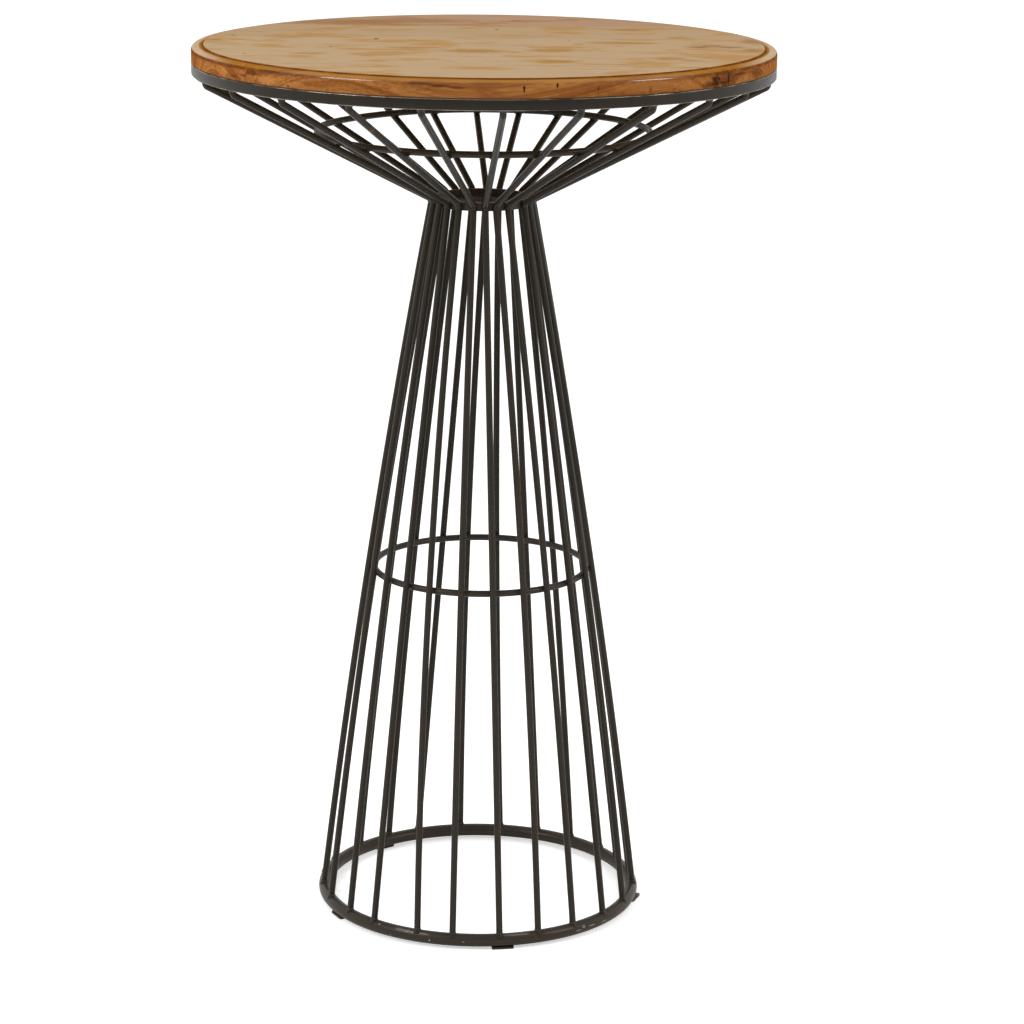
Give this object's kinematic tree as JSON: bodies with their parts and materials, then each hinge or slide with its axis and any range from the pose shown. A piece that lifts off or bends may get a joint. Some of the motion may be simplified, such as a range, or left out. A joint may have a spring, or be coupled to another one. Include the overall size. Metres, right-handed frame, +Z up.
{
  "type": "bar table",
  "caption": "Tall round bar table: a wooden disc top on a steel hoop, carried by a cage of bent rods that narrows to a waist and spreads to a floor ring.",
  "frame": {"origin": "on the floor, straight under the centre of the round top", "axes": "+Z up; +X to the right and +Y away from the viewer, seen from the side that the picture shows; the boards of the top run along X"},
  "size_m": [0.7, 0.7, 1.08],
  "materials": {
    "oiled_wood": "stained and waxed, satin, golden brown with a redder rim",
    "dark_steel": "dark clear-lacquered mild steel, satin",
    "screw_steel": "bright zinc"
  },
  "bodies": {
    "root": {"top_board_1": "oiled_wood", "top_board_2": "oiled_wood", "top_board_3": "oiled_wood", "top_board_4": "oiled_wood", "top_board_5": "oiled_wood", "top_hoop": "dark_steel", "cone_ring": "dark_steel", "waist_hoop": "dark_steel", "waist_plate": "dark_steel", "mid_ring": "dark_steel", "base_ring": "dark_steel", "frame_rod_01": "dark_steel", "frame_rod_02": "dark_steel", "frame_rod_03": "dark_steel", "frame_rod_04": "dark_steel", "frame_rod_05": "dark_steel", "frame_rod_06": "dark_steel", "frame_rod_07": "dark_steel", "frame_rod_08": "dark_steel", "frame_rod_09": "dark_steel", "frame_rod_10": "dark_steel", "frame_rod_11": "dark_steel", "frame_rod_12": "dark_steel", "frame_rod_13": "dark_steel", "frame_rod_14": "dark_steel", "frame_rod_15": "dark_steel", "frame_rod_16": "dark_steel", "frame_rod_17": "dark_steel", "frame_rod_18": "dark_steel", "frame_rod_19": "dark_steel", "frame_rod_20": "dark_steel", "frame_rod_21": "dark_steel", "frame_rod_22": "dark_steel", "frame_rod_23": "dark_steel", "frame_rod_24": "dark_steel", "foot_tab_front": "dark_steel", "foot_tab_right": "dark_steel", "foot_tab_left": "dark_steel", "foot_tab_back": "dark_steel", "fixing_lug_01": "dark_steel", "fixing_lug_02": "dark_steel", "fixing_lug_03": "dark_steel", "fixing_lug_04": "dark_steel", "top_screws": "screw_steel"}
  },
  "joints": []
}
